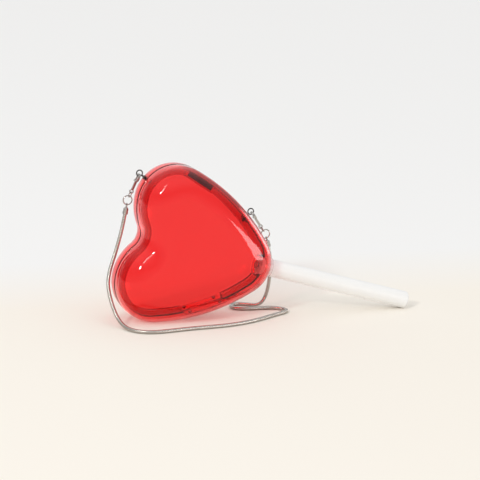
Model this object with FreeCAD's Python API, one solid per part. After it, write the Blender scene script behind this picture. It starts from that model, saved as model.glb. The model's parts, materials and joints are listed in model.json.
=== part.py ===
import FreeCAD, Part
import math
import os
from FreeCAD import Placement, Rotation, Vector

# Heart-shaped lollipop purse: two clear red half shells hinged along the lower flank, closed by magnets,
# with a white stick at the tip and a snake-chain strap clipped to two screw eyes on the rear half.
# Heart frame: X from the lobes to the tip, Y to the back, Z across; the seam is the plane Y = 0.
# Standing frame: the heart is tilted about Y until its lower flank and the stick's end rest on Z = 0.

# Outline of the heart
LOBE_RADIUS = 40.0
LOBE_OFFSET = 41.5
CROWN_RADIUS = 52.5
NOTCH_RADIUS = 17.0
TIP_CENTRE = 78.5
TIP_RADIUS = 36.5
FLANK_RADIUS = 205.0

# Half shells
SHELL_DEPTH = 35.0
EDGE_RADIUS = 27.0
WALL = 3.0
RIM_WIDTH = 7.0
RIM_DEPTH = 4.0
SEAM_GAP = 0.2

# Stick and its socket
STICK_RADIUS = 9.0
STICK_LENGTH = 165.0
STICK_END_ROUND = 2.0
SOCKET_WALL = 1.0
SOCKET_DEPTH = 10.0
SOCKET_COLLAR = 4.5
SOCKET_FLOOR = 2.5
CRADLE_WALL = 2.5
STICK_SCREW_RADIUS = 2.0
STICK_SCREW_LENGTH = 16.0

# Hinge on the lower flank
HINGE_AT = 62.0
HINGE_LENGTH = 44.0
KNUCKLES = 5
KNUCKLE_RADIUS = 2.2
KNUCKLE_GAP = 0.2
PIN_RADIUS = 1.1
LEAF_THICKNESS = 1.2
LEAF_WIDTH = 11.0
PAD_MARGIN = 2.0
LID_OPENING = 35.0
STOP_MARGIN = 2.0
HINGE_SCREW_SPACING = 33.0
HINGE_SCREW_RADIUS = 1.0
HINGE_SCREW_SKIN = 0.8

# Closing magnets on the upper flank
MAGNET_AT = 20.0
MAGNET_LENGTH = 30.0
MAGNET_WIDTH = 7.0
MAGNET_THICKNESS = 3.0
MAGNET_INSET = 3.0
MAGNET_SEAT = 2.0

# Screw eyes on the rear half
EYE_DEPTH = 10.0
LEFT_EYE_ANGLE = 155.0
RIGHT_EYE_AT = 82.0
EYE_REACH = 6.6
EYE_RING_RADIUS = 3.1
EYE_WIRE_RADIUS = 0.6
EYE_SHANK_RADIUS = 0.9
EYE_BOSS_RADIUS = 4.5
EYE_BOSS_HEIGHT = 1.5
WASHER_RADIUS = 2.2
WASHER_THICKNESS = 0.6
NUT_ACROSS_FLATS = 4.0
NUT_THICKNESS = 1.6

# Lobster clasps, links, rings and end caps of the strap
CLASP_OUTER_RADIUS = 4.6
CLASP_INNER_RADIUS = 2.9
CLASP_THICKNESS = 2.2
CLASP_LENGTH = 15.0
CLASP_NECK_WIDTH = 2.4
CLASP_TIP_ANGLE = 38.0
CLASP_ROOT_ANGLE = 150.0
LEVER_PIVOT = (-3.4, 2.8)
LEVER_TIP = (1.1, 1.98)
LEVER_HALF_WIDTH = 0.6
LEVER_THICKNESS = 1.0
LEVER_EYE_RADIUS = 1.2
LEVER_ROOM = 0.8
LEVER_PIN_RADIUS = 0.4
TAIL_RING_RADIUS = 1.8
TAIL_WIRE_RADIUS = 0.6
LINK_RADIUS = 2.9
LINK_WIRE_RADIUS = 0.5
RING_RADIUS = 4.6
RING_WIRE_RADIUS = 0.6
LOOP_RADIUS = 1.5
LOOP_WIRE_RADIUS = 0.5
CAP_RADIUS = 2.6
CAP_LENGTH = 8.0
LINK_PLAY = 0.2
EYE_PLAY = 0.35
LEFT_LEAN = 23.0
RIGHT_LEAN = 35.5

# Snake chain
CHAIN_RADIUS = 2.0
RUN_SHARE = 0.45

# Clearances
FIT = 0.05
RUNNING = 0.3
OVERLAP = 1.0

LEFT_CHAIN_AXIS = Vector(-0.16, 0.0, -0.99)
RIGHT_CHAIN_AXIS = Vector(0.30, 0.15, -0.94)
LEFT_EXIT_RUN = 14.0
RIGHT_EXIT_RUN = 9.0

# The chain's route between its end caps, in the standing frame; it lies outside the opening lid's path
CHAIN_LEFT = [
    (-155.8, 9.8, 80.0), (-160.2, 8.8, 65.0), (-165.4, 6.2, 51.5),
    (-168.3, 1.8, 39.5), (-168.2, -5.5, 28.0), (-166.4, -13.0, 17.5)]
CHAIN_FRONT = [
    (-164.0, -21.5, 8.5), (-160.8, -31.5, 3.2), (-157.0, -43.0, 2.1), (-148.5, -53.2, 2.1),
    (-134.5, -56.2, 2.1), (-117.0, -53.2, 2.1), (-98.5, -49.2, 2.1), (-78.5, -46.8, 2.1),
    (-56.0, -43.8, 2.1), (-34.0, -37.0, 2.1), (-12.0, -25.4, 2.1), (7.0, -12.5, 2.1)]
CHAIN_LOOPS = [
    (20.5, -4.2, 2.1), (28.2, 2.6, 2.1), (25.6, 11.8, 2.1), (16.5, 18.2, 2.1), (4.0, 18.8, 2.1),
    (-8.0, 17.6, 2.1), (-19.5, 19.5, 2.1), (-25.8, 26.5, 2.1), (-22.6, 36.0, 2.1), (-14.5, 41.8, 2.1),
    (-5.0, 36.0, 2.1), (3.0, 30.5, 2.1), (9.6, 29.5, 5.0)]
CHAIN_RIGHT = [
    (13.4, 28.4, 13.5), (13.9, 24.2, 25.5), (13.2, 20.2, 37.0), (12.3, 16.6, 48.0)]

Y_AXIS = Vector(0, 1, 0)


def unit(angle):
    """Unit vector in the plane of the heart at an angle in radians."""
    return (math.cos(angle), math.sin(angle))


def flank_centre():
    """Centre of the upper flank's arc, which the lobe and the tip arcs touch from inside."""
    to_lobe = FLANK_RADIUS - LOBE_RADIUS
    to_tip = FLANK_RADIUS - TIP_RADIUS
    span = math.hypot(TIP_CENTRE, LOBE_OFFSET)
    along = (to_lobe**2 - to_tip**2 + span**2) / (2 * span)
    away = math.sqrt(to_lobe**2 - along**2)
    ux, uz = TIP_CENTRE / span, -LOBE_OFFSET / span
    return (along * ux + away * uz, LOBE_OFFSET + along * uz - away * ux)


FLANK = flank_centre()
CROWN_CENTRE = (CROWN_RADIUS - LOBE_RADIUS, LOBE_OFFSET)
NOTCH_CENTRE = CROWN_CENTRE[0] - math.sqrt((CROWN_RADIUS + NOTCH_RADIUS)**2 - LOBE_OFFSET**2)
NOTCH_ANGLE = math.atan2(LOBE_OFFSET, CROWN_CENTRE[0] - NOTCH_CENTRE)
FLANK_START = math.atan2(LOBE_OFFSET - FLANK[1], -FLANK[0])
FLANK_END = math.atan2(-FLANK[1], TIP_CENTRE - FLANK[0])
TIP = TIP_CENTRE + TIP_RADIUS
STICK_END = TIP + STICK_LENGTH


def flank_reach(tilt):
    """How far below the heart's origin the lower lobe or flank reaches at a tilt."""
    down = (math.sin(tilt), -math.cos(tilt))
    if tilt > math.pi / 2 - FLANK_START:
        return FLANK[0] * down[0] - FLANK[1] * down[1] + FLANK_RADIUS
    return -LOBE_OFFSET * down[1] + LOBE_RADIUS


def stick_reach(tilt):
    """How far below the heart's origin the stick's rounded end reaches at a tilt."""
    along = (STICK_END - STICK_END_ROUND) * math.sin(tilt)
    across = (STICK_RADIUS - STICK_END_ROUND) * math.cos(tilt)
    return along + across + STICK_END_ROUND


def resting_tilt():
    """Tilt at which the lower flank and the stick's end touch the same floor."""
    low, high = 0.0, math.radians(45)
    for _ in range(60):
        middle = (low + high) / 2
        if stick_reach(middle) < flank_reach(middle):
            low = middle
        else:
            high = middle
    return middle


TILT = resting_tilt()
HEART_HEIGHT = flank_reach(TILT)
X_LOW = -LOBE_OFFSET * math.sin(TILT) - LOBE_RADIUS
X_HIGH = ((STICK_END - STICK_END_ROUND) * math.cos(TILT)
          + (STICK_RADIUS - STICK_END_ROUND) * math.sin(TILT) + STICK_END_ROUND)
STANDING = Placement(Vector(-(X_LOW + X_HIGH) / 2, 0, HEART_HEIGHT), Rotation(Y_AXIS, math.degrees(TILT)))


def stand(shape):
    """Bring a shape from the heart frame to the standing frame."""
    moved = shape.copy()
    moved.Placement = STANDING.multiply(moved.Placement)
    return moved


def placed(shape, place):
    """Bring a shape from a local frame to the frame that the placement is given in."""
    moved = shape.copy()
    moved.Placement = place.multiply(moved.Placement)
    return moved


def box(x0, x1, y0, y1, z0, z1):
    return Part.makeBox(x1 - x0, y1 - y0, z1 - z0, Vector(x0, y0, z0))


def rod(radius, start, end):
    """Cylinder between two points."""
    return Part.makeCylinder(radius, (end - start).Length, start, end - start)


def half_arcs():
    """Upper half outline from notch to tip: centre, radius, angles, and 1 for convex or -1 for concave."""
    lobe = (0.0, LOBE_OFFSET)
    return [
        ((NOTCH_CENTRE, 0.0), NOTCH_RADIUS, 0.0, NOTCH_ANGLE, -1),
        (CROWN_CENTRE, CROWN_RADIUS, NOTCH_ANGLE + math.pi, math.pi, 1),
        (lobe, LOBE_RADIUS, math.pi, FLANK_START, 1),
        (FLANK, FLANK_RADIUS, FLANK_START, FLANK_END, 1),
        ((TIP_CENTRE, 0.0), TIP_RADIUS, FLANK_END, 0.0, 1)]


def heart_wire(inset, y):
    """Closed outline drawn in by an inset, at a depth."""
    def point(centre, radius, angle, mirror):
        c, s = unit(angle)
        return Vector(centre[0] + radius * c, y, mirror * (centre[1] + radius * s))

    edges = []
    arcs = half_arcs()
    for mirror in (1, -1):
        for centre, radius, first, last, bulge in (arcs if mirror > 0 else reversed(arcs)):
            ends = (first, last) if mirror > 0 else (last, first)
            angles = (ends[0], (first + last) / 2, ends[1])
            through = [point(centre, radius - bulge * inset, angle, mirror) for angle in angles]
            edges.append(Part.Arc(*through).toShape())
    return Part.Wire(edges)


def slab(inset, y0, y1, edge_radius=0.0):
    """Solid of the outline between two depths, its far edge rounded."""
    solid = Part.Face(heart_wire(inset, y0)).extrude(Vector(0, y1 - y0, 0))
    if edge_radius > 0:
        far = [e for e in solid.Edges if abs(e.BoundBox.YMin - y1) < 1e-6 and e.BoundBox.YLength < 1e-6]
        solid = solid.makeFillet(edge_radius, far)
    return solid


def flank_place(at, upper):
    """Local frame on a flank: X to the tip, Y to the back, Z inwards on the lower, outwards on the upper."""
    angle = math.asin((at - FLANK[0]) / FLANK_RADIUS)
    height = FLANK[1] + FLANK_RADIUS * math.cos(angle)
    turn = math.degrees(angle)
    if upper:
        return Placement(Vector(at, 0, height), Rotation(Y_AXIS, turn))
    return Placement(Vector(at, 0, -height), Rotation(Y_AXIS, -turn))


def lobe_place(angle_deg):
    """Local frame on the upper lobe with Z outwards."""
    c, s = unit(math.radians(angle_deg))
    foot = Vector(LOBE_RADIUS * c, 0, LOBE_OFFSET + LOBE_RADIUS * s)
    return Placement(foot, Rotation(Y_AXIS, 90.0 - angle_deg))


# Hinge sizes in its own frame: X along the flank, Y to the back, Z inwards from the outline
PAD_HALF = HINGE_LENGTH / 2 + PAD_MARGIN
PAD_LEVEL = WALL + PAD_HALF**2 / (2 * FLANK_RADIUS) + 0.1
LEAF_TOP = PAD_LEVEL + LEAF_THICKNESS
HINGE_AXIS = LEAF_TOP - KNUCKLE_RADIUS
BARREL_ROOM = KNUCKLE_RADIUS + RUNNING
LEAF_EDGE = max(BARREL_ROOM, RIM_DEPTH) + RUNNING
HINGE_SCREW_DEPTH = LEAF_EDGE + LEAF_WIDTH / 2
HINGE_PLACE = flank_place(HINGE_AT, False)
MAGNET_PLACE = flank_place(MAGNET_AT, True)
EYE_PLACES = {
    "left": lobe_place(LEFT_EYE_ANGLE),
    "right": flank_place(RIGHT_EYE_AT, True)}
SOCKET_RADIUS = STICK_RADIUS + FIT + SOCKET_WALL
SOCKET_INNER_END = TIP - SOCKET_DEPTH
STICK_START = SOCKET_INNER_END + SOCKET_FLOOR


def along_x(radius, x0, x1):
    return rod(radius, Vector(x0, 0, 0), Vector(x1, 0, 0))


def half_shell():
    """Plain half shell on the +Y side: flat face, rounded edge, straight wall and thicker rim."""
    start = SEAM_GAP / 2
    edge = min(EDGE_RADIUS, SHELL_DEPTH - start - RIM_DEPTH - WALL)
    outer = slab(0.0, start, SHELL_DEPTH, edge)
    room = slab(WALL, start + RIM_DEPTH, SHELL_DEPTH - WALL, edge - WALL)
    mouth = slab(WALL + RIM_WIDTH, start - OVERLAP, start + RIM_DEPTH + OVERLAP)
    return outer.cut(room).cut(mouth)


def hinge_pad():
    """Flat inside of the wall that a leaf lies on."""
    pad = box(-PAD_HALF, PAD_HALF, SEAM_GAP / 2, LEAF_EDGE + LEAF_WIDTH + RUNNING, WALL / 2, PAD_LEVEL)
    return placed(pad, HINGE_PLACE).common(slab(WALL / 2, SEAM_GAP / 2, SHELL_DEPTH))


def hinge_room():
    """Room in both halves for the barrel, its straps and the leaves, and the bevels that stop the lid."""
    half = HINGE_LENGTH / 2 + RUNNING
    deep = LEAF_EDGE + LEAF_WIDTH + RUNNING
    barrel = box(-half, half, -BARREL_ROOM, BARREL_ROOM, -WALL, LEAF_TOP + RUNNING + RIM_WIDTH)
    leaves = box(-half, half, -deep, deep, PAD_LEVEL, LEAF_TOP + RIM_WIDTH + WALL)
    bevel = math.tan(math.radians((LID_OPENING + STOP_MARGIN) / 2))
    drop = HINGE_AXIS + WALL
    reach = math.sqrt(2 * FLANK_RADIUS * HINGE_AXIS) + WALL
    corners = [Vector(-reach, 0, HINGE_AXIS), Vector(-reach, drop * bevel, HINGE_AXIS - drop),
               Vector(-reach, -drop * bevel, HINGE_AXIS - drop)]
    wedge = Part.Face(Part.makePolygon(corners + corners[:1])).extrude(Vector(2 * reach, 0, 0))
    return placed(barrel.fuse([leaves, wedge]), HINGE_PLACE)


def hinge_screw_spots(side):
    """Places of a leaf's screws, on the leaf's inner face."""
    half = HINGE_SCREW_SPACING / 2
    return [Vector(x, side * HINGE_SCREW_DEPTH, LEAF_TOP) for x in (-half, half)]


def screw_bottom(spot):
    """Depth of a hinge screw's point, a skin short of the curved outside."""
    return spot.x**2 / (2 * FLANK_RADIUS) + HINGE_SCREW_SKIN


def hinge_screw_holes(side):
    holes = []
    for spot in hinge_screw_spots(side):
        holes.append(rod(HINGE_SCREW_RADIUS + FIT, Vector(spot.x, spot.y, screw_bottom(spot) - FIT), spot))
    return placed(holes[0].fuse(holes[1:]), HINGE_PLACE)


def magnet_box(grow, y0, y1):
    """Bar beside the upper flank, grown all round by a clearance."""
    half = MAGNET_LENGTH / 2 + grow
    bar = box(-half, half, y0, y1, -MAGNET_INSET - MAGNET_WIDTH - grow, -MAGNET_INSET + grow)
    return placed(bar, MAGNET_PLACE)


def with_magnet_seat(shell):
    """Add a moulded pocket for a magnet, open at the seam."""
    start = SEAM_GAP / 2
    block = magnet_box(MAGNET_SEAT, start, start + MAGNET_THICKNESS + MAGNET_SEAT)
    rim_side = placed(box(-MAGNET_LENGTH / 2 - MAGNET_SEAT, MAGNET_LENGTH / 2 + MAGNET_SEAT, start,
                          start + MAGNET_THICKNESS + MAGNET_SEAT, -MAGNET_INSET - OVERLAP, 0), MAGNET_PLACE)
    inside = slab(WALL / 2, start, SHELL_DEPTH)
    pocket = magnet_box(FIT, start - OVERLAP, start + MAGNET_THICKNESS)
    return shell.fuse(block.fuse(rim_side).common(inside)).cut(pocket)


def eye_bosses():
    """Flat-ended bosses inside the rear wall that the eye nuts bear on."""
    bosses = []
    for place in EYE_PLACES.values():
        seat = Vector(0, EYE_DEPTH, -WALL - EYE_BOSS_HEIGHT)
        bosses.append(placed(rod(EYE_BOSS_RADIUS, Vector(0, EYE_DEPTH, -WALL / 2), seat), place))
    return bosses


def eye_holes():
    holes = []
    for place in EYE_PLACES.values():
        hole = rod(EYE_SHANK_RADIUS + FIT, Vector(0, EYE_DEPTH, OVERLAP),
                   Vector(0, EYE_DEPTH, -WALL - EYE_BOSS_HEIGHT - OVERLAP))
        holes.append(placed(hole, place))
    return holes


def cradle():
    """Half sleeve inside the rear shell's tip that the stick socket is bonded into."""
    sleeve = along_x(SOCKET_RADIUS + CRADLE_WALL, SOCKET_INNER_END, TIP)
    return sleeve.common(slab(WALL / 2, SEAM_GAP / 2, SHELL_DEPTH))


def rear_shell():
    shell = with_magnet_seat(half_shell())
    shell = shell.fuse([hinge_pad(), cradle()] + eye_bosses())
    shell = shell.cut(hinge_room()).cut(hinge_screw_holes(1))
    shell = shell.cut(along_x(SOCKET_RADIUS + FIT, SOCKET_INNER_END - OVERLAP, TIP + OVERLAP))
    for hole in eye_holes():
        shell = shell.cut(hole)
    return shell.removeSplitter()


def front_shell():
    shell = with_magnet_seat(half_shell()).fuse(hinge_pad())
    shell = shell.mirror(Vector(0, 0, 0), Y_AXIS)
    shell = shell.cut(hinge_room()).cut(hinge_screw_holes(-1))
    shell = shell.cut(along_x(SOCKET_RADIUS + RUNNING, SOCKET_INNER_END - OVERLAP, TIP + OVERLAP))
    return shell.removeSplitter()


def stick_socket():
    """Clear cup with a collar that shows outside the tip, and a hole in its floor for the stick's screw."""
    cup = along_x(SOCKET_RADIUS, SOCKET_INNER_END, TIP + SOCKET_COLLAR)
    bore = along_x(STICK_RADIUS + FIT, STICK_START, TIP + SOCKET_COLLAR + OVERLAP)
    hole = along_x(STICK_SCREW_RADIUS + FIT, SOCKET_INNER_END - OVERLAP, STICK_START + OVERLAP)
    return cup.cut(bore).cut(hole)


def lollipop_stick():
    stick = along_x(STICK_RADIUS, STICK_START, STICK_END)
    rim = [e for e in stick.Edges if e.BoundBox.XMin > STICK_END - 1e-6]
    stick = stick.makeFillet(STICK_END_ROUND, rim)
    pilot = along_x(STICK_SCREW_RADIUS + FIT, STICK_START - OVERLAP, STICK_START + STICK_SCREW_LENGTH)
    return stick.cut(pilot)


def stick_screw():
    """Pan-head screw from inside the purse through the socket's floor into the stick."""
    head_radius = 2 * STICK_SCREW_RADIUS
    head_height = STICK_SCREW_RADIUS
    head = along_x(head_radius, SOCKET_INNER_END - head_height, SOCKET_INNER_END)
    top = [e for e in head.Edges if e.BoundBox.XMax < SOCKET_INNER_END - head_height + 1e-6]
    head = head.makeFillet(head_height / 2, top)
    shank = along_x(STICK_SCREW_RADIUS, SOCKET_INNER_END, STICK_START + STICK_SCREW_LENGTH - OVERLAP)
    return head.fuse(shank)


def hinge_leaf(side, own):
    """Leaf on one side of the seam with the knuckles whose numbers it owns."""
    half = HINGE_LENGTH / 2
    pitch = HINGE_LENGTH / KNUCKLES
    edges = sorted((side * LEAF_EDGE, side * (LEAF_EDGE + LEAF_WIDTH)))
    leaf = box(-half, half, edges[0], edges[1], PAD_LEVEL, LEAF_TOP)
    for number in own:
        x0 = -half + number * pitch + KNUCKLE_GAP / 2
        x1 = x0 + pitch - KNUCKLE_GAP
        strap = sorted((0, side * (LEAF_EDGE + OVERLAP)))
        leaf = leaf.fuse(box(x0, x1, strap[0], strap[1], PAD_LEVEL, LEAF_TOP))
        leaf = leaf.fuse(rod(KNUCKLE_RADIUS, Vector(x0, 0, HINGE_AXIS), Vector(x1, 0, HINGE_AXIS)))
    ends = [Vector(x, 0, HINGE_AXIS) for x in (-half - OVERLAP, half + OVERLAP)]
    leaf = leaf.cut(rod(PIN_RADIUS + FIT, *ends))
    through = Vector(0, 0, 2 * LEAF_THICKNESS)
    for spot in hinge_screw_spots(side):
        leaf = leaf.cut(rod(HINGE_SCREW_RADIUS + FIT, spot + through, spot - through))
    return placed(leaf.removeSplitter(), HINGE_PLACE)


def hinge_pin():
    half = HINGE_LENGTH / 2
    return placed(rod(PIN_RADIUS, Vector(-half, 0, HINGE_AXIS), Vector(half, 0, HINGE_AXIS)), HINGE_PLACE)


def hinge_screws(side):
    """Pan-head screws that hold a leaf to its pad."""
    screws = []
    for spot in hinge_screw_spots(side):
        head_top = spot + Vector(0, 0, HINGE_SCREW_RADIUS)
        head = rod(2 * HINGE_SCREW_RADIUS, spot, head_top)
        rim = [e for e in head.Edges if e.BoundBox.ZMin > head_top.z - 1e-6]
        head = head.makeFillet(HINGE_SCREW_RADIUS / 2, rim)
        shank = rod(HINGE_SCREW_RADIUS, Vector(spot.x, spot.y, screw_bottom(spot)), spot)
        screws.append(placed(head.fuse(shank), HINGE_PLACE))
    return Part.makeCompound(screws)


def magnet(side):
    start = SEAM_GAP / 2
    depths = sorted((side * (start + FIT), side * (start + MAGNET_THICKNESS)))
    return magnet_box(0.0, depths[0], depths[1])


def screw_eye(place):
    """Ring on a threaded shank, its ring facing the front."""
    centre = Vector(0, EYE_DEPTH, EYE_REACH)
    ring = Part.makeTorus(EYE_RING_RADIUS, EYE_WIRE_RADIUS, centre, Y_AXIS)
    end = Vector(0, EYE_DEPTH, -WALL - EYE_BOSS_HEIGHT - NUT_THICKNESS - EYE_SHANK_RADIUS)
    shank = rod(EYE_SHANK_RADIUS, end, Vector(0, EYE_DEPTH, EYE_REACH - EYE_RING_RADIUS))
    foot = Vector(0, EYE_DEPTH, WASHER_THICKNESS)
    collar = Part.makeCone(1.8 * EYE_SHANK_RADIUS, EYE_SHANK_RADIUS, EYE_SHANK_RADIUS, foot)
    return placed(ring.fuse([shank, collar]).removeSplitter(), place)


def eye_washers():
    washers = []
    for place in EYE_PLACES.values():
        foot = Vector(0, EYE_DEPTH, 0)
        top = Vector(0, EYE_DEPTH, WASHER_THICKNESS)
        washer = rod(WASHER_RADIUS, foot, top).cut(rod(EYE_SHANK_RADIUS + FIT, foot, top))
        washers.append(placed(washer, place))
    return Part.makeCompound(washers)


def eye_nuts():
    nuts = []
    corner = NUT_ACROSS_FLATS / math.sqrt(3)
    seat = -WALL - EYE_BOSS_HEIGHT
    for place in EYE_PLACES.values():
        corners = []
        for k in range(7):
            c, s = unit(math.radians(60 * k))
            corners.append(Vector(corner * c, EYE_DEPTH + corner * s, seat))
        hexagon = Part.Face(Part.makePolygon(corners)).extrude(Vector(0, 0, -NUT_THICKNESS))
        foot, top = Vector(0, EYE_DEPTH, seat), Vector(0, EYE_DEPTH, seat - NUT_THICKNESS)
        bore = rod(EYE_SHANK_RADIUS + FIT, foot, top)
        nuts.append(placed(hexagon.cut(bore), place))
    return Part.makeCompound(nuts)


def sector(inner, outer, first_deg, last_deg, half_thickness):
    """Flat ring sector in the XY plane from one angle to another."""
    def point(radius, angle):
        c, s = unit(math.radians(angle))
        return Vector(radius * c, radius * s, -half_thickness)

    middle = (first_deg + last_deg) / 2
    edges = [
        Part.Arc(point(outer, first_deg), point(outer, middle), point(outer, last_deg)).toShape(),
        Part.makeLine(point(outer, last_deg), point(inner, last_deg)),
        Part.Arc(point(inner, last_deg), point(inner, middle), point(inner, first_deg)).toShape(),
        Part.makeLine(point(inner, first_deg), point(outer, first_deg))]
    return Part.Face(Part.Wire(edges)).extrude(Vector(0, 0, 2 * half_thickness))


def upright(radius, x, y, half_height):
    """Cylinder along Z centred on the XY plane."""
    return Part.makeCylinder(radius, 2 * half_height, Vector(x, y, -half_height))


def clasp_body():
    """Lobster claw in its own frame: X towards the crown, gate on +Y, tail ring on -X facing Y."""
    half = CLASP_THICKNESS / 2
    slot = LEVER_THICKNESS / 2 + LINK_PLAY
    claw = sector(CLASP_INNER_RADIUS, CLASP_OUTER_RADIUS, CLASP_ROOT_ANGLE - 360, CLASP_TIP_ANGLE, half)
    middle = (CLASP_INNER_RADIUS + CLASP_OUTER_RADIUS) / 2
    c, s = unit(math.radians(CLASP_TIP_ANGLE))
    tip = upright((CLASP_OUTER_RADIUS - CLASP_INNER_RADIUS) / 2, middle * c, middle * s, half)
    cheek = upright(LEVER_EYE_RADIUS + LINK_PLAY, LEVER_PIVOT[0], LEVER_PIVOT[1], half)
    wide = CLASP_NECK_WIDTH / 2
    neck = box(-CLASP_LENGTH + TAIL_RING_RADIUS, -CLASP_INNER_RADIUS - LINK_PLAY, -wide, wide, -half, half)
    tail = Part.makeTorus(TAIL_RING_RADIUS, TAIL_WIRE_RADIUS, Vector(-CLASP_LENGTH, 0, 0), Y_AXIS)
    lever_room = upright(LEVER_EYE_RADIUS + LEVER_ROOM, LEVER_PIVOT[0], LEVER_PIVOT[1], slot)
    pin_hole = upright(LEVER_PIN_RADIUS + FIT, LEVER_PIVOT[0], LEVER_PIVOT[1], half + OVERLAP)
    body = claw.fuse([tip, cheek, neck, tail])
    return body.cut(lever_room).cut(pin_hole).removeSplitter()


def clasp_lever():
    """Sprung gate that closes the claw, with a thumb nub beside its pivot."""
    half = LEVER_THICKNESS / 2
    x0, y0 = LEVER_PIVOT
    x1, y1 = LEVER_TIP
    length = math.hypot(x1 - x0, y1 - y0)
    bar = box(0, length, -LEVER_HALF_WIDTH, LEVER_HALF_WIDTH, -half, half)
    turn = math.degrees(math.atan2(y1 - y0, x1 - x0))
    bar = placed(bar, Placement(Vector(x0, y0, 0), Rotation(Vector(0, 0, 1), turn)))
    eye = upright(LEVER_EYE_RADIUS, x0, y0, half)
    tip = upright(LEVER_HALF_WIDTH, x1, y1, half)
    quarter = LEVER_HALF_WIDTH / 2
    nub = upright(LEVER_HALF_WIDTH, x0 - quarter, y0 + LEVER_EYE_RADIUS + quarter, half)
    lever = bar.fuse([eye, tip, nub])
    return lever.cut(upright(LEVER_PIN_RADIUS + FIT, x0, y0, half + OVERLAP)).removeSplitter()


def clasp_pin():
    return upright(LEVER_PIN_RADIUS, LEVER_PIVOT[0], LEVER_PIVOT[1], CLASP_THICKNESS / 2)


def frame_from(origin, x_axis, y_axis):
    """Placement of a local frame from its origin and two directions."""
    return Placement(origin, Rotation(x_axis, y_axis, x_axis.cross(y_axis), "XYZ"))


class StrapEnd:
    """Places of the pieces from a screw eye down to the chain, in the standing frame."""

    def __init__(self, eye_place, lean_deg, chain_axis, exit_run):
        lean = math.radians(lean_deg)
        down = Vector(math.sin(lean), 0, -math.cos(lean))
        eye = STANDING.multVec(eye_place.multVec(Vector(0, EYE_DEPTH, EYE_REACH)))
        wire_seat = CLASP_INNER_RADIUS - EYE_WIRE_RADIUS - EYE_PLAY
        self.claw = eye + down * (EYE_RING_RADIUS + wire_seat)
        self.clasp_place = frame_from(self.claw, -down, Y_AXIS)
        tail = self.claw + down * CLASP_LENGTH
        link_top = TAIL_RING_RADIUS - TAIL_WIRE_RADIUS - LINK_WIRE_RADIUS - LINK_PLAY
        self.link = tail + down * (link_top + LINK_RADIUS)
        self.link_axis = down.cross(Y_AXIS)
        ring_top = LINK_RADIUS - LINK_WIRE_RADIUS - RING_WIRE_RADIUS - LINK_PLAY
        self.ring = self.link + down * (ring_top + RING_RADIUS)
        self.axis = chain_axis.normalize()
        loop_top = RING_RADIUS - RING_WIRE_RADIUS - LOOP_WIRE_RADIUS - LINK_PLAY
        level_axis = Vector(self.axis.x, 0, self.axis.z).normalize()
        self.loop = self.ring + level_axis * loop_top + self.axis * LOOP_RADIUS
        self.loop_axis = self.axis.cross(Y_AXIS)
        self.cap_top = self.loop + self.axis * LOOP_RADIUS
        self.chain_start = self.cap_top + self.axis * CAP_LENGTH
        self.exit_point = self.chain_start + self.axis * exit_run

    def in_clasp(self, shape):
        return placed(shape, self.clasp_place)

    def link_piece(self):
        return Part.makeTorus(LINK_RADIUS, LINK_WIRE_RADIUS, self.link, self.link_axis)

    def ring_piece(self):
        return Part.makeTorus(RING_RADIUS, RING_WIRE_RADIUS, self.ring, Y_AXIS)

    def end_cap(self):
        """Turned cap with a bead at its mouth and a loop that hangs on the ring."""
        loop = Part.makeTorus(LOOP_RADIUS, LOOP_WIRE_RADIUS, self.loop, self.loop_axis)
        bead = self.chain_start - self.axis * CHAIN_RADIUS
        shoulder = Part.makeCone(LOOP_WIRE_RADIUS, CAP_RADIUS, CAP_RADIUS, self.cap_top, self.axis)
        barrel = rod(CAP_RADIUS, self.cap_top + self.axis * CAP_RADIUS, bead)
        mouth = rod(CAP_RADIUS + LINK_PLAY, bead, self.chain_start)
        return shoulder.fuse([loop, barrel, mouth]).removeSplitter()


STRAP = {
    "left": StrapEnd(EYE_PLACES["left"], -LEFT_LEAN, LEFT_CHAIN_AXIS, LEFT_EXIT_RUN),
    "right": StrapEnd(EYE_PLACES["right"], RIGHT_LEAN, RIGHT_CHAIN_AXIS, RIGHT_EXIT_RUN)}


def rounded(before, corner, after):
    """Arc at a corner of the route, as large as its two runs allow: its three points and its radius."""
    back, ahead = before - corner, after - corner
    setback = RUN_SHARE * min(back.Length, ahead.Length)
    radius = setback / math.tan((math.pi - back.getAngle(ahead)) / 2)
    u, v = back.normalize(), ahead.normalize()
    bisector = (u + v).normalize()
    nearest = corner + bisector * (math.hypot(setback, radius) - radius)
    return corner + u * setback, nearest, corner + v * setback, radius


def tube(edges, radii):
    """Plain tube of the chain's diameter along a stretch of its route."""
    path = Part.Wire(edges)
    first = edges[0]
    section = Part.makeCircle(CHAIN_RADIUS, first.Vertexes[0].Point, first.tangentAt(first.FirstParameter))
    solid = Part.Solid(path.makePipeShell([Part.Wire([section])], True, False).Shells[0])
    ratio = solid.Volume / (math.pi * CHAIN_RADIUS**2 * path.Length)
    print("chain stretch: length %.1f, volume over section times length %.4f" % (path.Length, ratio))
    print("  radii", [round(radius, 1) for radius in radii])
    return solid


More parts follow.
